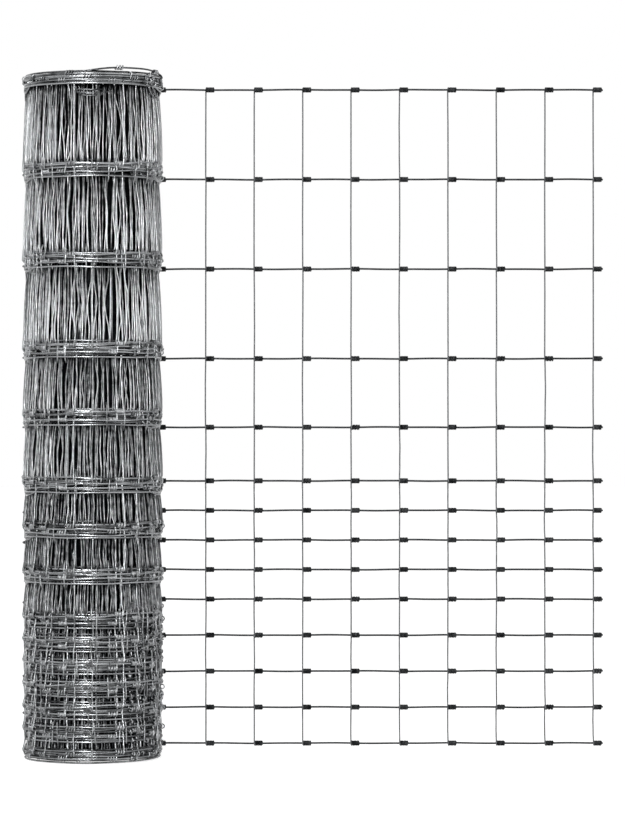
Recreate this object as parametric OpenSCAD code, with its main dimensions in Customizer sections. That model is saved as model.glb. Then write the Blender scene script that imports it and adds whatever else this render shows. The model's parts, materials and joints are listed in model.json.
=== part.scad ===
// Roll of woven wire fencing, standing on end, with its last metre unrolled.
// Origin on the roll's axis at the floor, +Z up the axis, +X along the unrolled lead.

/* [Fence] */
// Height between the centres of the top and bottom line wires
fence_h = 1524; // [1400:1:1800]
// Thickness of the horizontal line wires
line_d = 4.4; // [2.5:0.1:5]
// Thickness of the vertical stay wires
stay_d = 3.2; // [2:0.1:3.8]
// Distance from one stay to the next
stay_pitch = 113; // [75:1:130]
// Turns of stay wire in one knot
knot_wraps = 6; // [3:1:7]
// Room between the line wire and the wraps round it
knot_slack = 1.2; // [0:0.1:2]

/* [Roll] */
// Outside diameter over the bands of line wire
roll_d = 320; // [260:1:420]
// Clear diameter of the hollow middle
bore_d = 110; // [80:1:160]
// Turns of fence in the roll
turns = 43; // [20:1:48]
// Height of the band that one line wire makes as its turns wander
band_h = 38; // [24:1:40]
// How far the bands stand out from the stays between them
band_depth = 6; // [3:0.5:8]
// Stays that show upright between the bands
roll_stays = 16; // [8:1:24]
// Width of the groove between two turns on the ends
turn_groove = 1.1; // [0.6:0.1:1.5]

/* [Roll line wires] */
// Gap between the bands in the top three steps
roll_gap_top = 203.2; // [180:0.1:215]
// Gap between the bands in the next two steps
roll_gap_upper = 152.4; // [130:0.1:165]
// Gap between the bands in the next three steps
roll_gap_lower = 101.6; // [80:0.1:110]

/* [Lead line wires] */
// Gap between the lead's line wires in the top three steps
lead_gap_top = 209; // [180:0.5:215]
// Gap under those
lead_gap_upper = 160; // [130:0.5:170]
// Gap under that
lead_gap_middle = 125; // [100:0.5:140]
// Gap between the lead's line wires in the next four steps
lead_gap_lower = 69; // [55:0.5:75]

/* [Lead] */
// Stays on the straight part of the lead
lead_stays = 11; // [6:1:12]
// Distance from the roll's axis to the first of them
first_stay = 27; // [20:1:60]
// Angle over which the end of the last turn still lies on the roll
lap_deg = 84; // [75:1:110]
// Stays on that stretch
lap_stays = 2; // [1:1:2]
// Line wire left past the last knot
wire_end = 1.5; // [1:0.5:20]
// Clearance between the last turn's knots and the roll under them
seat_clear = 0.3; // [0.2:0.1:1]

/* [Hidden] */
$fn = 48;

roll_r = roll_d / 2;
bore_r = bore_d / 2;
core_r = roll_r - band_depth;
roll_h = fence_h + band_h;
low_wire_z = band_h / 2;
turn_pitch = (core_r - bore_r) / turns;

// The six lowest bands and the four lowest lead wires share what height is left.
roll_gap_foot = (fence_h - 3 * roll_gap_top - 2 * roll_gap_upper - 3 * roll_gap_lower) / 6;
lead_gap_foot = (fence_h - 3 * lead_gap_top - lead_gap_upper - lead_gap_middle - 4 * lead_gap_lower) / 4;

// Gaps from the bottom wire up.
roll_gaps = concat(
    [for (i = [1:6]) roll_gap_foot],
    [for (i = [1:3]) roll_gap_lower],
    [for (i = [1:2]) roll_gap_upper],
    [for (i = [1:3]) roll_gap_top]
);
lead_gaps = concat(
    [for (i = [1:4]) lead_gap_foot],
    [for (i = [1:4]) lead_gap_lower],
    [lead_gap_middle, lead_gap_upper],
    [for (i = [1:3]) lead_gap_top]
);

function sum_to(gaps, n) = n <= 0 ? 0 : gaps[n - 1] + sum_to(gaps, n - 1);
function wire_heights(gaps) = [for (i = [0:len(gaps)]) low_wire_z + sum_to(gaps, i)];

band_z = wire_heights(roll_gaps);
wire_z = wire_heights(lead_gaps);

// A knot is the stay's wraps side by side on the line wire, starting beside the stay.
wrap_r = (line_d + stay_d) / 2 + knot_slack;
knot_r = wrap_r + stay_d / 2;
knot_start = 0.55 * stay_d;
knot_end = knot_start + knot_wraps * stay_d;

lead_y = roll_r + knot_r + seat_clear;
stay_x = [for (i = [0:lead_stays - 1]) first_stay + i * stay_pitch];
lead_len = stay_x[lead_stays - 1] + knot_end + wire_end;
lap_angles = [for (i = [1:lap_stays]) (i * stay_pitch - first_stay) / lead_y * 180 / PI];

// Half section of the band that one line wire makes on the roll.
module band_section(z) {
    straight = band_h / 2 - band_depth;
    translate([core_r - 1, z - straight]) square([band_depth + 1, 2 * straight]);
    for (side = [-1, 1]) {
        translate([core_r, z + side * straight]) circle(r = band_depth);
    }
}

// Half section of the wound turns, which show as rings on both ends.
module wound_section() {
    difference() {
        union() {
            translate([bore_r, 0]) square([core_r - bore_r, roll_h]);
            for (z = band_z) {
                band_section(z);
            }
        }
        for (i = [1:turns - 1], z = [0, roll_h]) {
            translate([bore_r + i * turn_pitch, z]) circle(d = turn_groove);
        }
    }
}

// One stay of the outer turns, a plain rib that runs under the bands from the bottom one to the top one.
module roll_stay() {
    translate([core_r - 1, -stay_d / 2, low_wire_z]) cube([1 + 0.9 * band_depth, stay_d, fence_h]);
}

// Turned body of the wound turns with its upright stays.
module wound_roll() {
    color([0.60, 0.61, 0.63])
    union() {
        rotate_extrude() wound_section();
        for (i = [0:roll_stays - 1]) {
            rotate([0, 0, (i + 0.5) * 360 / roll_stays]) roll_stay();
        }
    }
}

// Half outline of the knot beside the stay at x, one ridge for each wrap, from foot to foot.
function knot_outline(x, foot_r) = concat(
    [[foot_r, x + knot_start]],
    [
        for (i = [0:knot_wraps - 1], p = [[wrap_r, 0], [knot_r, 0.3], [knot_r, 0.7]])
            [p[0], x + knot_start + (i + p[1]) * stay_d]
    ],
    [[wrap_r, x + knot_end], [foot_r, x + knot_end]]
);

// One straight line wire with its row of knots, turned about its own axis.
module knotted_wire() {
    wire_r = line_d / 2;
    knots = [for (x = stay_x) each knot_outline(x, wire_r)];
    rotate([0, 90, 0])
    rotate_extrude()
    polygon(concat([[0, 0], [wire_r, 0]], knots, [[wire_r, lead_len], [0, lead_len]]));
}

// One line wire on the roll with its knots.
module lapped_wire() {
    rotate([0, 0, 90]) rotate_extrude(angle = lap_deg) translate([lead_y, 0]) circle(d = line_d);
    for (a = lap_angles) {
        rotate([0, 0, a]) translate([0, lead_y, 0]) rotate([0, 90, 0])
        rotate_extrude() polygon(knot_outline(0, 0));
    }
}

// One stay from the bottom line wire to the top one, drawn with few sides.
module stay_wire() {
    translate([0, lead_y - line_d / 4, low_wire_z]) cylinder(d = stay_d, h = fence_h, $fn = 8);
}

// The stretch of the last turn that still lies on the roll.
module outer_turn() {
    color([0.63, 0.64, 0.66])
    union() {
        for (z = wire_z) {
            translate([0, 0, z]) lapped_wire();
        }
        for (a = lap_angles) {
            rotate([0, 0, a]) stay_wire();
        }
    }
}

// The unrolled end of the fence: line wires, stays and knots, fused where they cross.
module unrolled_lead() {
    color([0.66, 0.67, 0.69])
    union() {
        for (z = wire_z) {
            translate([0, lead_y, z]) knotted_wire();
        }
        for (x = stay_x) {
            translate([x, 0, 0]) stay_wire();
        }
    }
}

wound_roll();
outer_turn();
unrolled_lead();
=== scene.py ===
import json
import math

import bpy
import numpy as np
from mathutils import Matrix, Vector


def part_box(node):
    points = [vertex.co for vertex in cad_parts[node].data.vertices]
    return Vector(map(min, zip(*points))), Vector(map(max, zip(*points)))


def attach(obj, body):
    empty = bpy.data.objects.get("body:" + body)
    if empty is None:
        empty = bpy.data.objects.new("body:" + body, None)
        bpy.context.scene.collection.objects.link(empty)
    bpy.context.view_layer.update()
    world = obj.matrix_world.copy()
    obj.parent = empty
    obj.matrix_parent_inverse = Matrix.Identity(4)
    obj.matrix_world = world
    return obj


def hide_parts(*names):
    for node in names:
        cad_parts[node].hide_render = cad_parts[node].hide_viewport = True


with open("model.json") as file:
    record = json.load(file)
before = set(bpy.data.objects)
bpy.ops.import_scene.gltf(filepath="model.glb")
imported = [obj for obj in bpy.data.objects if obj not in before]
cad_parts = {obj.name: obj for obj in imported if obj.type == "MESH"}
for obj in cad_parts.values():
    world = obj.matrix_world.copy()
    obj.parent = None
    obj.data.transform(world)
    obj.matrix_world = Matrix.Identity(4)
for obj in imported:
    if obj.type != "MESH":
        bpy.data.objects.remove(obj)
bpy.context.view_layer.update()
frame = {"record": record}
print("frame loaded")

mm = 0.001
rng = np.random.default_rng(41)

# one length of hinge-joint fence; the roll and the lead are the same wires
fence = {
    "lineWire": 4.4 * mm,     # thickness
    "stayWire": 3.2 * mm,
    "stayPitch": 113 * mm,
    "wrapsPerStay": 3,        # turns that each stay end makes round the line wire
    "knotSlack": 1.2 * mm,    # room between the line wire and the wraps
    "kinks": 5,               # half waves in a stay between two line wires
    "kinkShare": 0.25,        # of the stay's sway
    "kinkShift": 40,          # puts them elsewhere on each stay
}
# gaps between line wires from the bottom up, in mm
rollGaps = [50.8] * 6 + [101.6] * 3 + [152.4] * 2 + [203.2] * 3
leadGaps = [84] * 4 + [69] * 4 + [125, 160] + [209] * 3

wrapRadius = (fence["lineWire"] + fence["stayWire"]) / 2 + fence["knotSlack"]
knotRadius = wrapRadius + fence["stayWire"] / 2

rollLow, rollHigh = (np.array(c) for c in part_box("wound_roll"))
leadLow, leadHigh = (np.array(c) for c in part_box("unrolled_lead"))
rollRadius = (rollHigh[0] - rollLow[0]) / 2
leadY = (leadLow[1] + leadHigh[1]) / 2
lowWireZ = leadLow[2] + knotRadius


def wireHeights(gaps):
    return lowWireZ + np.concatenate([[0], np.cumsum(gaps)]) * mm


rollZ = wireHeights(rollGaps)
leadZ = wireHeights(leadGaps)
bottomWire, topWire = 0, len(rollZ) - 1


# points at a distance and an angle from the roll's axis
def roundAxis(r, angle, z):
    return np.stack([r * np.cos(angle), r * np.sin(angle), z], axis=-1)


# a few sine waves added up, each given as its rate and its share
def addWaves(waves, along, starts):
    return sum(share * np.sin(rate * along + start) for (rate, share), start in zip(waves, starts))


# sweeps round wires along many paths at once; returns closed tubes as plain arrays
def sweepWires(paths, radius, sides, tones):
    paths = np.asarray(paths, float)
    count, points, _ = paths.shape
    tangent = np.gradient(paths, axis=1)
    tangent /= np.linalg.norm(tangent, axis=2, keepdims=True)
    normal = np.empty_like(paths)
    upright = np.abs(tangent[:, 0, 2:]) >= 0.9
    n = np.cross(tangent[:, 0], np.where(upright, [[1.0, 0, 0]], [[0, 0, 1.0]]))
    for i in range(points):  # carries the section along without twisting it
        t = tangent[:, i]
        n = n - t * np.sum(n * t, axis=1, keepdims=True)
        n /= np.linalg.norm(n, axis=1, keepdims=True)
        normal[:, i] = n
    binormal = np.cross(tangent, normal)
    turn = np.linspace(0, math.tau, sides, endpoint=False)
    ring = (normal[:, :, None] * np.cos(turn)[:, None]
            + binormal[:, :, None] * np.sin(turn)[:, None])
    verts = paths[:, :, None] + radius * ring
    index = np.arange(count * points * sides).reshape(count, points, sides)
    nextSide = np.roll(index, -1, axis=2)
    quads = np.stack([index[:, :-1], nextSide[:, :-1], nextSide[:, 1:], index[:, 1:]], axis=-1)
    caps = np.concatenate([index[:, 0, ::-1], index[:, -1]])
    tone = np.repeat(np.asarray(tones, float).reshape(-1), sides)
    return verts.reshape(-1, 3), quads.reshape(-1, 4), caps, tone


def buildMesh(name, batches, material):
    verts, loops, sizes, tones, base = [], [], [], [], 0
    for v, quads, caps, tone in batches:
        verts.append(v)
        tones.append(tone)
        loops += [(quads + base).ravel(), (caps + base).ravel()]
        sizes += [np.full(len(quads), 4), np.full(len(caps), caps.shape[1])]
        base += len(v)
    verts, loops, sizes = np.concatenate(verts), np.concatenate(loops), np.concatenate(sizes)
    mesh = bpy.data.meshes.new(name)
    mesh.vertices.add(len(verts))
    mesh.vertices.foreach_set("co", verts.ravel())
    mesh.loops.add(len(loops))
    mesh.loops.foreach_set("vertex_index", loops.astype(np.int32))
    mesh.polygons.add(len(sizes))
    mesh.polygons.foreach_set("loop_start", (np.cumsum(sizes) - sizes).astype(np.int32))
    mesh.polygons.foreach_set("use_smooth", sizes == 4)
    mesh.update(calc_edges=True)
    mesh.validate()
    # the tone holds each wire's own tone together with the painted shade laid on it
    shade = mesh.attributes.new("tone", "FLOAT", "POINT")
    shade.data.foreach_set("value", np.concatenate(tones).astype(np.float32))
    mesh.materials.append(material)
    obj = bpy.data.objects.new(name, mesh)
    bpy.context.collection.objects.link(obj)
    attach(obj, "root")
    print(name, "triangles", int(np.sum(sizes - 2)))
    return obj


# angle round the line wire and way along it, for the wraps of one stay end; two ends share one knot
def wrapPath(perTurn, wraps):
    turn = np.linspace(0, math.tau * wraps, int(perTurn * wraps) + 1)
    return turn, 2 * fence["stayWire"] * turn / math.tau


# stay segments from the knot on the lower wire to the knot on the upper one, in fence coordinates:
# along the fence, out of it, up; the last array tells which points lie in a knot
def staySegments(low, high, alongLow, alongHigh, bow, sway, perTurn, straight, wraps, lowSide):
    def col(a):
        return np.asarray(a, float).reshape(len(low), 1)

    low, high, bow, sway = col(low), col(high), col(bow), col(sway)
    alongLow, alongHigh = col(alongLow), col(alongHigh)
    turn, advance = wrapPath(perTurn, wraps)
    t = np.linspace(0, 1, straight + 2)[1:-1]
    hump = np.sin(math.pi * t)
    sink = np.sin(math.pi * t ** 2)         # deepest under the upper wire
    ease = t * t * (3 - 2 * t)

    # at its lower end the stay passes on one side of the line wire, at its upper end on the other
    lowS = alongLow + advance[::-1]
    lowN = np.tile(lowSide * wrapRadius * np.cos(turn[::-1]), (len(low), 1))
    lowZ = low - wrapRadius * np.sin(turn[::-1])
    highS = alongHigh + advance
    highN = np.tile(-lowSide * wrapRadius * np.cos(turn), (len(low), 1))
    highZ = high + wrapRadius * np.sin(turn)
    kink = fence["kinkShare"] * sway * np.sin(fence["kinks"] * math.pi * t + fence["kinkShift"] * sway / mm)
    midS = alongLow * (1 - ease) + alongHigh * ease + (sway + kink) * hump
    midN = lowSide * wrapRadius * ((1 - t) ** 4 - t ** 4) - bow * sink
    midZ = low * (1 - t) + high * t

    point = np.arange(2 * len(turn) + straight)  # the last two of each knot lead into the stay
    inKnot = (point < len(turn) - 2) | (point >= len(turn) + straight + 2)
    return (np.concatenate([lowS, midS, highS], axis=1),
            np.concatenate([lowN, midN, highN], axis=1),
            np.concatenate([lowZ, midZ, highZ], axis=1), inKnot)


# on the top and bottom wires one stay end makes all the turns, so this fills the other start
def endCoils(height, along, side, perTurn, wraps):
    turn, advance = wrapPath(perTurn, wraps)
    s = along[:, None] + advance
    n = np.tile(side * wrapRadius * np.cos(turn), (len(s), 1))
    z = np.tile(height + side * wrapRadius * np.sin(turn), (len(s), 1))
    return s, n, z


# sRGB hex to linear
def linear(hexColour):
    channels = [int(hexColour[i:i + 2], 16) / 255 for i in (1, 3, 5)]
    return [c / 12.92 if c <= 0.04045 else ((c + 0.055) / 1.055) ** 2.4 for c in channels] + [1]


def addNode(tree, kind, settings=None, links=None):
    node = tree.nodes.new(kind)
    for key, value in (settings or {}).items():
        if key in node.inputs:
            node.inputs[key].default_value = value
        else:
            setattr(node, key, value)
    for socket, source in (links or {}).items():
        tree.links.new(source, node.inputs[socket])
    return node


zinc = {
    "cloudSize": 12 * mm,
    "cloudDetail": 3.0,
    "cloudEnds": (0.3, 0.7),  # noise at which a patch is dullest and brightest
    "cloudTone": 0.2,         # either way
    "cloudGloss": 0.08,       # brighter patches are smoother
}


# hot-dip zinc on drawn wire: dull grey metal with cloudy patches, brighter where it was rubbed
def galvanisedZinc(name, dull, bright, roughness):
    material = bpy.data.materials.new(name)
    material.use_nodes = True
    tree = material.node_tree
    shader = tree.nodes["Principled BSDF"]
    shader.inputs["Metallic"].default_value = 1.0
    place = addNode(tree, "ShaderNodeTexCoord")
    tone = addNode(tree, "ShaderNodeAttribute", {"attribute_name": "tone"})
    cloud = addNode(tree, "ShaderNodeTexNoise",
                    {"Scale": 1 / zinc["cloudSize"], "Detail": zinc["cloudDetail"]},
                    {"Vector": place.outputs["Object"]})
    dullest, brightest = zinc["cloudEnds"]
    patch = addNode(tree, "ShaderNodeMapRange",
                    {"From Min": dullest, "From Max": brightest,
                     "To Min": -zinc["cloudTone"], "To Max": zinc["cloudTone"]},
                    {"Value": cloud.outputs["Fac"]})
    mixed = addNode(tree, "ShaderNodeMath", {"operation": "ADD", "use_clamp": True},
                    {0: tone.outputs["Fac"], 1: patch.outputs["Result"]})
    colour = addNode(tree, "ShaderNodeValToRGB", None, {"Fac": mixed.outputs["Value"]})
    colour.color_ramp.elements[0].color = linear(dull)
    colour.color_ramp.elements[1].color = linear(bright)
    tree.links.new(colour.outputs["Color"], shader.inputs["Base Color"])
    gloss = addNode(tree, "ShaderNodeMapRange",
                    {"To Min": roughness + zinc["cloudGloss"], "To Max": roughness - zinc["cloudGloss"]},
                    {"Value": cloud.outputs["Fac"]})
    tree.links.new(gloss.outputs["Result"], shader.inputs["Roughness"])
    return material


# the line wires glint along the bands, the stays are paler with softer glints
lineZinc = galvanisedZinc("Galvanised line wire", "#141618", "#acaeb0", 0.26)
stayZinc = galvanisedZinc("Galvanised stay wire", "#181a1c", "#d4d6d8", 0.34)
# painted shade: deep in the roll the wire is coloured next to black
paintedShadeZinc = galvanisedZinc("Galvanised wire packed in shadow", "#0a0b0c", "#4a4c50", 0.6)
# single wires look dark against white, the stays less so
leadLineZinc = galvanisedZinc("Galvanised line wire in the open", "#141618", "#4c4e50", 0.45)
leadStayZinc = galvanisedZinc("Galvanised stay wire in the open", "#181a1c", "#787a7c", 0.62)
print("zinc mixed")

# the wound roll
roll = {
    "turns": 43,
    "fullTurns": 8,           # outer turns drawn whole, as is the innermost; the rest show only at the ends
    "knottedTurns": 4,        # outer turns with every wrap drawn
    "outerSkin": 2.5 * mm,    # line wire centre under the CAD surface
    "boreRoom": 4 * mm,       # line wire centre outside the bore
    "startAngle": 120,        # where the last turn goes under the lead, in degrees
    "crossings": 0.23,        # rises and falls of the winding in a turn
    "highest": 0.6,           # turn at which the top wire stands highest
    "wander": 8 * mm,         # how far the winding walks up and down
    "lean": 2.4 * mm,         # each turn lies this much higher on the side of the lead
    "wobble": 1.1 * mm,
    "wobbleWaves": ((4.3, 1), (7.7, 0.7)),   # in a turn, and their share
    "ripple": 0.9 * mm,       # in and out
    "rippleWaves": 9.1,
    "openGap": 80,            # mm; bands with wider gaps on both sides lie open
    "spread": {"end": 1, "foot": 1.4, "open": 1.35},   # how much taller a band is
    # painted shade: the bottom wire is coloured darker where it stands on the floor
    "endTone": {bottomWire: 0.6, topWire: 0.85},
    "looseTop": 13 * mm,      # the outermost top wire has sprung up by this
    "looseAt": 0.53,          # at this turn, for about so much of a turn
    "looseReach": 0.16,
    "lineTone": (0.6, 0.4),   # middle, and change either way
    "lineToneWaves": 0.7,     # in a turn
    "lineSides": 5,
    "segments": 56,           # in a turn
    "firstStay": 0.35,        # of the pitch from the end of the last turn
    "stayBow": 4 * mm,        # how far the stays sink under the band above them
    "bowChange": 0.35,
    "staySway": 6 * mm,
    "tallStay": 200 * mm,     # has all of the bow and sway
    "leastSway": 0.2,         # share that the shortest keep
    "stayShift": 1.2 * mm,    # along the line wire
    "stayTone": (0.45, 1),
    "paintedKnotShade": 0.6,          # times that of the stay: painted shade in the wraps
    "staySides": 4,
}
boreRadius = fence["lineWire"] / 2 + frame["record"]["mounts"][0]["dims"]["r_mm"] * mm
outerRadius = rollRadius - roll["outerSkin"]
turnPitch = (outerRadius - boreRadius - roll["boreRoom"]) / roll["turns"]
wavePhase = rng.uniform(0, 1, (len(rollZ), 4)) * math.tau


def turnRadius(turn):
    return outerRadius - turnPitch * turn


def turnAngle(turn):
    return math.radians(roll["startAngle"]) + math.tau * turn


# the winding walks up and down, so the turns of one wire spread into a band
def windingShift(turn):
    phase = (turn - roll["highest"]) * roll["crossings"]
    wave = 1 - 4 * np.abs(phase - np.floor(phase + 0.5))
    return roll["wander"] * wave + roll["lean"] * np.cos(turnAngle(turn))


# the bands at the foot stand close together, the others lie open
def bandKind(wire):
    if wire in (bottomWire, topWire):
        return "end"
    return "open" if min(rollGaps[wire - 1], rollGaps[wire]) > roll["openGap"] else "foot"


def spread(wire):
    return roll["spread"][bandKind(wire)]


# the end wires are coloured darker: most of all the bottom one, as painted shade where it stands on the floor
def endTone(wire):
    return roll["endTone"].get(wire, 1)


def lineHeight(wire, turn):
    wobble = roll["wobble"] * addWaves(roll["wobbleWaves"], math.tau * turn, wavePhase[wire, :2])
    loose = 0
    if wire == topWire:
        loose = roll["looseTop"] * np.exp(-((turn - roll["looseAt"]) / roll["looseReach"]) ** 2)
    return rollZ[wire] + spread(wire) * (windingShift(turn) + wobble) + loose


def lineRadius(wire, turn):
    wave = np.sin(math.tau * turn * roll["rippleWaves"] + wavePhase[wire, 2])
    return turnRadius(turn) + roll["ripple"] * wave


def lineTone(wire, turn):
    middle, change = roll["lineTone"]
    wave = np.sin(math.tau * turn * roll["lineToneWaves"] + wavePhase[wire, 3])
    return (middle + change * wave) * endTone(wire)


def lineSpirals(wires, start, stop):
    turn = np.linspace(start, stop, int((stop - start) * roll["segments"]) + 1)
    paths = [roundAxis(lineRadius(w, turn), turnAngle(turn), lineHeight(w, turn)) for w in wires]
    tones = [lineTone(w, turn) for w in wires]
    return sweepWires(paths, fence["lineWire"] / 2, roll["lineSides"], tones)


# stays stand at even steps along the strip, so their turn follows from the length wound
def stayTurns():
    total = math.tau * (outerRadius * roll["turns"] - turnPitch * roll["turns"] ** 2 / 2)
    length = np.arange(roll["firstStay"] * fence["stayPitch"], total, fence["stayPitch"])
    return (outerRadius - np.sqrt(outerRadius ** 2 - turnPitch * length / math.pi)) / turnPitch


# bright colours the stays of deeper turns darker: painted shade
def rollStays(turns, gaps, perTurn, straight, wraps, bright):
    t = np.repeat(turns, len(gaps))
    g = np.tile(gaps, len(turns))
    jitter = rng.normal(0, 1, (4, len(t)))
    shade = np.repeat(rng.uniform(*roll["stayTone"], len(turns)), len(gaps)) * bright
    low = np.array([lineHeight(w, u) for w, u in zip(g, t)])
    high = np.array([lineHeight(w + 1, u) for w, u in zip(g, t)])
    tall = np.clip((high - low) / roll["tallStay"], roll["leastSway"], 1)
    s, n, z, inKnot = staySegments(
        low, high, jitter[0] * roll["stayShift"], jitter[1] * roll["stayShift"],
        bow=roll["stayBow"] * tall * (1 + roll["bowChange"] * jitter[2]),
        sway=roll["staySway"] * tall * jitter[3],
        perTurn=perTurn, straight=straight, wraps=wraps, lowSide=1)
    radius = turnRadius(t)[:, None]
    paths = roundAxis(radius + n, turnAngle(t)[:, None] - s / radius, z)
    tone = shade[:, None] * np.where(inKnot, roll["paintedKnotShade"], 1)
    return sweepWires(paths, fence["stayWire"] / 2, roll["staySides"], tone)


allWires = range(len(rollZ))
allGaps = np.arange(len(rollGaps))
endGaps = allGaps[[0, -1]]
stayTurn = stayTurns()
fullTurns, knottedTurns, boreTurn = roll["fullTurns"], roll["knottedTurns"], roll["turns"] - 1
outerStays = stayTurn[stayTurn < knottedTurns]
middleStays = stayTurn[(stayTurn >= knottedTurns) & (stayTurn < fullTurns)]
innerStays = stayTurn[(stayTurn >= fullTurns) & (stayTurn < boreTurn)]
boreStays = stayTurn[stayTurn >= boreTurn]

rollWires = buildMesh("rollLineWires", [
    lineSpirals(allWires, 0, fullTurns),
    lineSpirals([bottomWire, topWire], fullTurns, boreTurn),
    lineSpirals(allWires, boreTurn, roll["turns"]),
], lineZinc)
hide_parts("wound_roll")
buildMesh("outerTurnStays", [
    rollStays(outerStays, allGaps, perTurn=6, straight=8, wraps=fence["wrapsPerStay"], bright=1.0),
], stayZinc)
buildMesh("middleTurnStays", [
    rollStays(middleStays, allGaps, perTurn=4, straight=5, wraps=2, bright=0.8),
], stayZinc)
buildMesh("innerTurnStays", [
    rollStays(innerStays, endGaps, perTurn=4, straight=2, wraps=2, bright=0.7),
    rollStays(boreStays, allGaps, perTurn=5, straight=4, wraps=2, bright=0.7),
], stayZinc)

# the turns packed under the outer ones, of which only glimpses show;
# at the foot the bands stand close, and on its right knots crowd over them
foot = {
    "back": 2.5 * mm,         # bands and knots lie deeper by this, so that stays cross them
    "crowdShare": 0.7,        # of the knots stand together, in the other bands too
    "crowdReach": (-55, 8),   # between these angles
    "crowdEdge": 15,          # degrees over which their shade ends
    "crowdShade": 0.55,       # painted shade: what lies under them is coloured this much darker
    "crowdRise": 2.2,         # times more rise
}


def footBack(wire):
    return foot["back"] if bandKind(wire) == "foot" else 0


# painted shade under the crowded knots
def crowdShade(angle):
    first, last = foot["crowdReach"]
    edge, shade = foot["crowdEdge"], foot["crowdShade"]
    degrees = (np.degrees(angle) + 180) % 360 - 180
    return np.interp(degrees, (first - edge, first, last, last + edge), (1, shade, shade, 1))


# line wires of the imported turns
bands = {
    "wires": 8,                       # one above the other in a band
    "step": 3.9 * mm,
    "points": 73,
    "layers": (0.6, 0.4),             # every other wire lies back by the first, and all by some of the second
    "depth": (1.5 * mm, 6 * mm),      # under the outermost line wires
    "tone": (1.15, 0.15),             # painted shade: lighter at the surface, the deep ones coloured darker
    "toneWaves": ((3, 0.2), (8, 0.15)),   # in a turn, and their share
    "tilt": 3.2 * mm,
    "wave": 1.4 * mm,
    "waves": ((4, 1), (7, 0.7)),
    "room": {"end": 0.5, "foot": 0.5, "open": 1},   # share of the tilt and the wave that fits in
    "edgeRoom": 0.6,                  # less at the band's edges
    "ripple": 0.8 * mm,               # in and out
    "rippleWaves": 5,
}


def packedBands():
    angle = np.linspace(0, math.tau, bands["points"])
    middle = (bands["wires"] - 1) / 2
    every, some = bands["layers"]
    paths, tones = [], []
    for wire, height in enumerate(rollZ):
        for k in range(bands["wires"]):
            phase = rng.uniform(0, math.tau, 6)
            wave = bands["wave"] * addWaves(bands["waves"], angle, phase[:2])
            tilt = rng.normal(0, bands["tilt"]) * np.sin(angle + phase[3])
            room = bands["room"][bandKind(wire)] * (1 - bands["edgeRoom"] * abs(k / middle - 1))
            z = height + (k - middle) * bands["step"] * spread(wire) + room * (tilt + wave)
            deep = every * (k % 2) + rng.uniform(0, some)
            ripple = bands["ripple"] * np.sin(bands["rippleWaves"] * angle + phase[2])
            r = outerRadius - np.interp(deep, (0, 1), bands["depth"]) - footBack(wire) + ripple
            paths.append(roundAxis(r, angle, z))
            # painted shade: deeper wires are coloured darker
            tone = np.interp(deep, (0, 1), bands["tone"]) + addWaves(bands["toneWaves"], angle, phase[4:])
            tone *= crowdShade(angle) if bandKind(wire) == "foot" else 1
            tones.append(np.clip(tone * endTone(wire), 0, 1))
    return sweepWires(paths, fence["lineWire"] / 2, roll["lineSides"], tones)


# line wires that hang out of the open bands at the sides, and ones that run level between the
# stays in front, under the top band, coloured darker as painted shade
sagging = {
    "wires": 4,               # at each place
    # angles and their scatter in degrees, extra depth, bend of the wire (0 runs level) and tone
    "sides": {"places": (-168, -12), "scatter": 8, "sunk": 0, "bend": 0.6, "tone": 1},
    "front": {"places": (-88,), "scatter": 0, "sunk": 6 * mm, "bend": 0.05, "tone": 0.3},
    "reach": (18, 38),        # degrees
    "start": 10 * mm,         # under the middle of the band
    "drop": (6 * mm, 18 * mm),
    "topDrop": 1.8,           # times more under the top band
    "depth": (2 * mm, 5 * mm),
    "tone": (0.3, 0.9),
    "points": 13,
}


def saggedWires():
    sides, front = sagging["sides"], sagging["front"]
    hung = [w for w in allWires[1:] if bandKind(w) != "foot"]
    places = [(w, middle, sides) for w in hung for middle in sides["places"]]
    places += [(topWire, middle, front) for middle in front["places"]]
    t = np.linspace(0, 1, sagging["points"])
    paths, tones = [], []
    for wire, middle, sag in places:
        for _ in range(sagging["wires"]):
            reach = math.radians(rng.uniform(*sagging["reach"]))
            angle = math.radians(middle + rng.normal(0, sag["scatter"])) + (t - 0.5) * reach
            hang = rng.uniform(*sagging["drop"]) * (sagging["topDrop"] if wire == topWire else 1)
            drop = sagging["start"] + hang * np.sin(math.pi * t) ** sag["bend"]
            r = outerRadius - rng.uniform(*sagging["depth"]) - sag["sunk"]
            paths.append(roundAxis(r, angle, rollZ[wire] - drop))
            tones.append(np.full(len(t), rng.uniform(*sagging["tone"]) * sag["tone"]))
    return sweepWires(paths, fence["lineWire"] / 2, roll["lineSides"], tones)


# stays of the imported turns, in two layers; painted shade colours the far one darker, most at the foot
filling = {
    "stays": 112,                     # in each layer
    "near": {"depth": (4 * mm, 9 * mm), "tone": (0.4, 1.0), "paintedFootShade": 1, "offset": 0, "points": 9},
    "far": {"depth": (7 * mm, 11 * mm), "tone": (0.2, 0.6), "paintedFootShade": 0.3, "offset": 0.5, "points": 5},
    "paintedGapShade": {50: 0.3, 100: 0.55, 150: 0.74, 200: 1.25},   # painted shade by gap in mm, darker in narrow ones
    "footSink": 4 * mm,
    "bulge": 5 * mm,                  # they stand out most just over the band below
    "bulgeGap": 100,                  # mm; in narrower gaps they do so less
    "bulgeSkew": 0.35,
    "sink": 6 * mm,                   # deeper by this under the band above
    "sway": 2.2 * mm,
    "swayWaves": ((1, 0.8), (3, 0.4)),    # half waves between two bands, and their share
    "coverLow": (13, 19),             # a band covers this much of a stay's foot, in mm
    "coverHigh": (18, 30),            # and of its top
    "paintedCoverShade": 0.2,
    "paintedTopShade": (1.2, 0.95, 1.8),         # painted shade upwards: tone at the foot, how much of it is lost, how late
}


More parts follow.
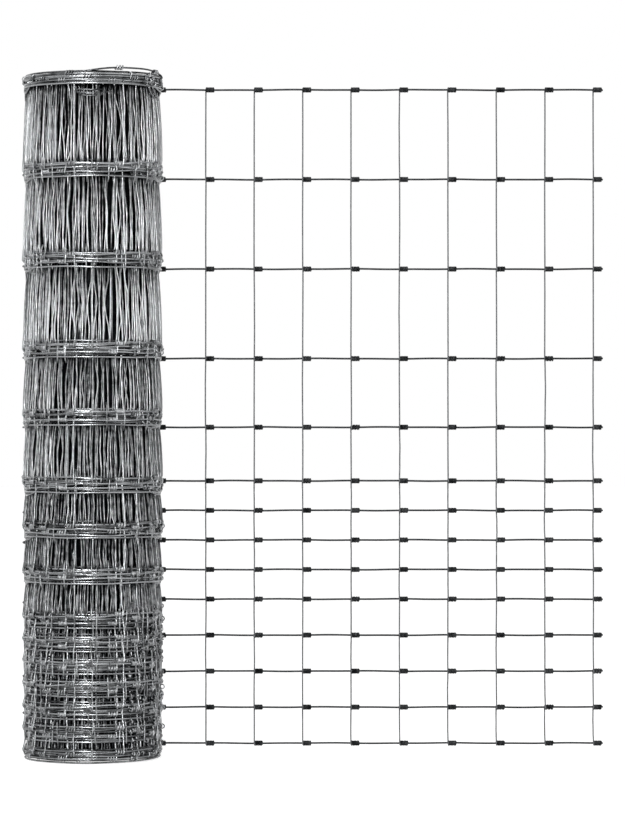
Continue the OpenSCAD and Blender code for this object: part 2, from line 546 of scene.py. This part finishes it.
def packedStays(layer):
    count = filling["stays"] * len(rollGaps)
    g = np.tile(allGaps, filling["stays"])
    gap = np.array(rollGaps)[g, None]
    atFoot = gap < roll["openGap"]
    tall = gap / filling["bulgeGap"]
    step = math.tau / filling["stays"]
    angle = np.repeat((np.arange(filling["stays"]) + layer["offset"]) * step, len(rollGaps))[:, None]
    t = np.linspace(0, 1, layer["points"])
    shift = rng.normal(0, filling["sway"], (4, count, 1))
    along = shift[0] * (1 - t) + shift[1] * t
    for (halfWaves, share), sway in zip(filling["swayWaves"], shift[2:]):
        along += tall * share * sway * np.sin(halfWaves * math.pi * t)
    bulge = filling["bulge"] * np.minimum(tall, 1) * np.sin(math.pi * t ** filling["bulgeSkew"])
    depth = rng.uniform(*layer["depth"], (count, 1)) + filling["footSink"] * atFoot
    r = outerRadius - depth + bulge - filling["sink"] * t ** 4
    z = rollZ[g, None] * (1 - t) + rollZ[g + 1, None] * t
    angle = angle + along / r

    shade = rng.uniform(*layer["tone"], (count, 1)) * np.interp(gap, *zip(*filling["paintedGapShade"].items()))
    shade = shade * np.where(atFoot, layer["paintedFootShade"] * crowdShade(angle), 1)
    # painted shade: darker where a band covers them, and towards the upper one
    shade = shade * np.interp(gap * t, filling["coverLow"], (filling["paintedCoverShade"], 1))
    shade = shade * np.interp(gap * (1 - t), filling["coverHigh"], (filling["paintedCoverShade"], 1))
    start, lost, late = filling["paintedTopShade"]
    shade = np.clip(shade * (start - lost * t ** late), 0, 1)
    return sweepWires(roundAxis(r, angle, z), fence["stayWire"] / 2, roll["staySides"], shade)


# stays of the outer turns where they lie over the bands
crossing = {
    "places": 60,             # round the roll
    "scatter": 0.4,           # of a step
    "crowd": 0.25,            # closer together on the left and the right than in front
    "shown": (0.5, 0.3),      # share of the places that has a stay, at the foot and on open bands
    "reach": (25 * mm, 32 * mm),      # at the foot and on open bands
    "sink": (1.5 * mm, 6 * mm),       # how far their ends dip into the gaps, likewise
    "depth": (0.5 * mm, 2.5 * mm),    # least and most
    "tone": (0.3, 0.8),
    "lean": 0.5,
    "points": 7,
}


def crossingStays():
    wires = np.arange(bottomWire + 1, topWire)
    isOpen = np.array([bandKind(w) == "open" for w in wires]).astype(int)
    places, scatter = crossing["places"], crossing["scatter"]
    place = (np.arange(places) + rng.uniform(-scatter, scatter, places)) * math.tau / places
    place -= crossing["crowd"] * np.sin(2 * place)
    share = np.array(crossing["shown"])[isOpen, None]
    row, column = np.nonzero(rng.uniform(0, 1, (len(wires), places)) < share)
    count = len(row)
    t = np.linspace(-1, 1, crossing["points"])
    shift = rng.normal(0, filling["sway"], (2, count, 1))
    sink = np.array(crossing["sink"])[isOpen[row], None]
    reach = np.array(crossing["reach"])[isOpen[row], None]
    r = outerRadius - rng.uniform(*crossing["depth"], (count, 1)) - sink * np.abs(t) ** 3
    angle = place[column, None] + (shift[0] + crossing["lean"] * shift[1] * t) / r
    z = rollZ[wires[row], None] + t * reach
    tone = np.tile(rng.uniform(*crossing["tone"], (count, 1)), (1, len(t)))
    return sweepWires(roundAxis(r, angle, z), fence["stayWire"] / 2, roll["staySides"], tone)


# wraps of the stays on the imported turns, which stand out of the bands here and there
knots = {
    "count": 26,              # in each band
    "turns": 1.5,
    "points": 6,              # in a turn
    "step": 1.1,              # stay wires from turn to turn
    "length": (0.45, 1.0),    # share of its turns that a knot keeps
    "depth": (0.5 * mm, 4.5 * mm),
    "rise": 11 * mm,
    "tone": (0.1, 0.75),
    # band, angle and rise in mm of the curls that stick out at the side
    "curls": ((1, 2.0, 3), (2, 2.8, -4), (3, 2.2, -8), (5, 3.0, 2), (6, 2.4, -5), (8, 2.6, 4)),
    "curlOut": 1 * mm,
}


def packedKnots():
    count = knots["count"] * len(rollZ)
    wire = np.repeat(np.arange(len(rollZ)), knots["count"])
    first, last = foot["crowdReach"]
    crowded = rng.uniform(0, 1, count) < foot["crowdShare"]
    together = rng.uniform(math.radians(first), math.radians(last), count)
    anywhere = rng.uniform(0, math.tau, count)
    angle = np.where(crowded, together, anywhere)[:, None]
    points = int(knots["points"] * knots["turns"]) + 1
    turn = np.linspace(0, math.tau * knots["turns"], points)
    turn = turn * rng.uniform(*knots["length"], (count, 1))
    start = rng.uniform(0, math.tau, (count, 1))
    rise = rng.uniform(-1, 1, count) * knots["rise"] * np.array([spread(w) for w in wire])
    deep = rng.uniform(*knots["depth"], (count, 1))
    back = np.array([[footBack(w)] for w in wire])
    loose = (np.degrees(angle) > first) & (np.degrees(angle) < last)
    rise *= np.where(loose & (back > 0), foot["crowdRise"], 1)[:, 0]
    deep += np.where(loose, 0, back)
    for k, (band, degrees, up) in enumerate(knots["curls"]):
        wire[k] = band
        angle[k] = math.radians(degrees)
        rise[k] = up * mm
        deep[k] = -knots["curlOut"]
    r = outerRadius - deep + wrapRadius * np.cos(start + turn)
    z = (rollZ[wire] + rise)[:, None] + wrapRadius * np.sin(start + turn)
    angle = angle + knots["step"] * fence["stayWire"] * turn / (math.tau * outerRadius)
    tone = np.tile(rng.uniform(*knots["tone"], (count, 1)), (1, points))
    return sweepWires(roundAxis(r, angle, z), fence["stayWire"] / 2, roll["staySides"], tone)


# a near-black tube behind the drawn wires, open along the bore: painted shade for the dark inside of the roll
core = {
    "depth": 12 * mm,         # where it is too dark to see further in
    "columns": 72,
    "endDrop": 16 * mm,       # it ends this far inside the end wires
}


def packedCore():
    outside = outerRadius - core["depth"]
    inside = turnRadius(roll["turns"]) + fence["lineWire"]
    low, high = rollZ[bottomWire] + core["endDrop"], rollZ[topWire] - core["endDrop"]
    section = np.array([(outside, low), (outside, high), (inside, high), (inside, low)])
    angle = np.linspace(0, math.tau, core["columns"], endpoint=False)
    verts = roundAxis(section[:, :1], angle, np.tile(section[:, 1:], (1, len(angle))))
    index = np.arange(verts.shape[0] * verts.shape[1]).reshape(verts.shape[:2])
    up, side = np.roll(index, -1, axis=0), np.roll(index, -1, axis=1)
    quads = np.stack([index, side, np.roll(up, -1, axis=1), up], axis=-1).reshape(-1, 4)
    return verts.reshape(-1, 3), quads, np.zeros((0, 4), int), np.zeros(index.size)


buildMesh("packedBandWires", [packedBands(), saggedWires()], lineZinc)
buildMesh("packedStays", [
    packedStays(filling["near"]),
    packedStays(filling["far"]),
    crossingStays(),
], stayZinc)
buildMesh("packedKnots", [packedKnots()], stayZinc)
buildMesh("packedCore", [packedCore()], paintedShadeZinc)

# the unrolled lead and the stretch of it that still lies on the roll
lead = {
    "stays": 11,
    "lapStays": 2,
    "knotStart": 0.55,            # stay wires from a stay to its knot
    "wireEnd": 1.5 * mm,          # line wire past the last knot
    "lap": 62,                    # degrees flat on the roll
    "tuck": 34,                   # degrees more, where it slips under the turn above
    "tuckDepth": 13 * mm,
    "waver": 0.5 * mm,
    "waverWaves": ((21, 1), (47, 0.6)),   # radians to the metre, and their share
    "lapStep": 8 * mm,            # between points of a line wire on the roll
    "flatPoints": 90,
    "lineTone": 0.42,
    "lineSides": 8,
    "stayShift": 0.3 * mm,
    "staySway": 0.4 * mm,
    "wrapPoints": 10,             # in a turn
    "stayPoints": 7,
    "stayTone": 0.85,
    # painted shade: the wraps of the stays are coloured dark
    "paintedKnotShade": 0.18,
    "staySides": 6,
}
knotLength = (lead["knotStart"] + 2 * fence["wrapsPerStay"]) * fence["stayWire"]
lastStay = leadHigh[0] - knotLength - lead["wireEnd"]
stayAlong = lastStay - fence["stayPitch"] * np.arange(lead["stays"] + lead["lapStays"])


# along is measured from the tangent point: ahead of it flat, behind it round the roll
def ontoLead(along, out, z):
    flat = along >= 0
    angle = math.pi / 2 + np.where(flat, 0, -along) / leadY
    past = np.clip((np.degrees(angle) - 90 - lead["lap"]) / lead["tuck"], 0, 1)
    r = leadY + out - lead["tuckDepth"] * past * past
    return np.stack([np.where(flat, along, r * np.cos(angle)),
                     np.where(flat, leadY + out, r * np.sin(angle)), z], axis=-1)


def leadLines():
    lapLength = math.radians(lead["lap"] + lead["tuck"]) * leadY
    along = np.concatenate([np.arange(-lapLength, 0, lead["lapStep"]),
                            np.linspace(0, leadHigh[0], lead["flatPoints"])])
    paths = []
    for z in leadZ:
        waver = lead["waver"] * addWaves(lead["waverWaves"], along, rng.uniform(0, math.tau, 2))
        paths.append(ontoLead(along, np.zeros_like(along), z + waver))
    tones = np.full((len(paths), len(along)), lead["lineTone"])
    return sweepWires(paths, fence["lineWire"] / 2, lead["lineSides"], tones)


def leadStays():
    s0 = np.repeat(stayAlong, len(leadGaps))
    g = np.tile(np.arange(len(leadGaps)), len(stayAlong))
    jitter = rng.normal(0, 1, (3, len(s0)))
    s, n, z, inKnot = staySegments(
        leadZ[g], leadZ[g + 1], s0 + jitter[0] * lead["stayShift"], s0 + jitter[1] * lead["stayShift"],
        bow=np.zeros(len(s0)), sway=jitter[2] * lead["staySway"],
        perTurn=lead["wrapPoints"], straight=lead["stayPoints"], wraps=fence["wrapsPerStay"], lowSide=-1)
    tone = np.tile(np.where(inKnot, lead["paintedKnotShade"], lead["stayTone"]), (len(s), 1))
    tubes = [sweepWires(ontoLead(s, n, z), fence["stayWire"] / 2, lead["staySides"], tone)]
    for height, side in ((leadZ[0], 1), (leadZ[-1], -1)):
        s, n, z = endCoils(height, stayAlong, side, lead["wrapPoints"], fence["wrapsPerStay"])
        tone = np.full(s.shape, lead["paintedKnotShade"])
        tubes.append(sweepWires(ontoLead(s, n, z), fence["stayWire"] / 2, lead["staySides"], tone))
    return tubes


leadWires = buildMesh("leadLineWires", [leadLines()], leadLineZinc)
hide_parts("unrolled_lead", "outer_turn")
buildMesh("leadStays", leadStays(), leadStayZinc)

# floor, light and camera
studio = {
    "floorSize": 60.0,
    "floorMiddle": 0.5,
    "floor": "#d8d8d8",
    "floorRoughness": 0.9,
    "floorWhite": 0.84,       # added where the camera sees it
    "floorMirrored": 1.0,     # how bright the metal shows it
    "world": 0.25,            # light on whatever isn't metal
    "room": 0.36,             # how bright the metal shows the room behind the camera
    # between these the room turns into the white backdrop, 1 being straight behind the roll,
    # and into the white ceiling, 1 being straight up
    "backdropEdge": (0.4, 0.9),
    "ceilingEdge": (0.1, 0.6),
    "target": (0.4, 0, 0.8),
}


# tells rays that come from metal or glass
def mirroredRay(tree, path):
    mirrored = addNode(tree, "ShaderNodeMath", {"operation": "MAXIMUM"},
                       {0: path.outputs["Is Glossy Ray"], 1: path.outputs["Is Transmission Ray"]})
    return mirrored.outputs["Value"]


bpy.ops.mesh.primitive_plane_add(size=studio["floorSize"], location=(studio["floorMiddle"], 0, 0))
floor = bpy.context.object
floor.name = "studioFloor"
# matt white paper: takes a soft shadow and shows no glints
paper = bpy.data.materials.new("White studio paper")
paper.use_nodes = True
tree = paper.node_tree
sheet = tree.nodes["Principled BSDF"]
sheet.inputs["Base Color"].default_value = linear(studio["floor"])
sheet.inputs["Roughness"].default_value = studio["floorRoughness"]
path = addNode(tree, "ShaderNodeLightPath")
level = addNode(tree, "ShaderNodeMapRange", {"To Max": studio["floorWhite"]},
                {"Value": path.outputs["Is Camera Ray"]})
glow = addNode(tree, "ShaderNodeEmission", None, {"Strength": level.outputs["Result"]})
both = addNode(tree, "ShaderNodeAddShader", None, {0: sheet.outputs["BSDF"], 1: glow.outputs["Emission"]})
even = addNode(tree, "ShaderNodeEmission", {"Strength": studio["floorMirrored"]})
shown = addNode(tree, "ShaderNodeMixShader", None,
                {0: mirroredRay(tree, path), 1: both.outputs["Shader"], 2: even.outputs["Emission"]})
tree.links.new(shown.outputs["Shader"], tree.nodes["Material Output"].inputs["Surface"])
floor.data.materials.append(paper)

# white backdrop behind the roll, a dimmer room behind the camera, which the metal shows too
world = bpy.data.worlds.new("Studio")
bpy.context.scene.world = world
world.use_nodes = True
tree = world.node_tree
path = addNode(tree, "ShaderNodeLightPath")
place = addNode(tree, "ShaderNodeTexCoord")
axis = addNode(tree, "ShaderNodeSeparateXYZ", None, {"Vector": place.outputs["Generated"]})
roomEnds, backdropStarts = studio["backdropEdge"]
around = addNode(tree, "ShaderNodeMapRange",
                 {"From Min": roomEnds, "From Max": backdropStarts, "To Min": studio["room"], "To Max": 1.0},
                 {"Value": axis.outputs["Y"]})
wallsEnd, ceilingStarts = studio["ceilingEdge"]
above = addNode(tree, "ShaderNodeMapRange", {"From Min": wallsEnd, "From Max": ceilingStarts, "To Max": 1.0},
                {"Value": axis.outputs["Z"], "To Min": around.outputs["Result"]})
lit = addNode(tree, "ShaderNodeMapRange", {"To Min": studio["world"]},
              {"Value": mirroredRay(tree, path), "To Max": above.outputs["Result"]})
level = addNode(tree, "ShaderNodeMapRange", {"To Max": 1.0},
                {"Value": path.outputs["Is Camera Ray"], "To Min": lit.outputs["Result"]})
tree.links.new(level.outputs["Result"], tree.nodes["Background"].inputs["Strength"])
tree.nodes["Background"].inputs["Color"].default_value = (1, 1, 1, 1)

# place, width and height, power, and the angle that the light spreads over
lamps = {
    "keyLight": ((-1.0, -3.0, 4.4), (1.6, 1.0), 100, 180),
    "fillLight": ((3.6, -2.6, 1.6), (1.6, 2.2), 12, 180),
    "frontLight": ((-0.3, -4.4, 1.2), (0.7, 2.0), 26, 90),   # keeps its light off the floor
}
for name, (place, (width, height), power, angle) in lamps.items():
    lamp = bpy.data.lights.new(name, "AREA")
    lamp.shape = "RECTANGLE"
    lamp.size, lamp.size_y, lamp.energy = width, height, power
    lamp.spread = math.radians(angle)
    softbox = bpy.data.objects.new(name, lamp)
    bpy.context.collection.objects.link(softbox)
    softbox.location = place
    softbox.visible_camera = False
    x, y, z = np.array(studio["target"]) - np.array(place)
    softbox.rotation_euler = (math.atan2(math.hypot(x, y), -z), 0, math.atan2(-x, y))
print("studio lit")

view = {
    "distance": 8.0,          # from the roll's axis
    "across": 0.502,
    "focal": 3500,            # in picture pixels
    "picture": (625, 833),
}
bpy.context.scene.view_settings.view_transform = "Standard"
lens = bpy.data.cameras.new("camera")
lens.sensor_width = 36
lens.lens = view["focal"] * lens.sensor_width / max(view["picture"])
lens.clip_end = 200
camera = bpy.data.objects.new("camera", lens)
bpy.context.collection.objects.link(camera)
camera.location = (view["across"], -view["distance"], (rollLow[2] + rollHigh[2]) / 2)
camera.rotation_euler = (math.pi / 2, 0, 0)
bpy.context.scene.camera = camera
print("scene ready")
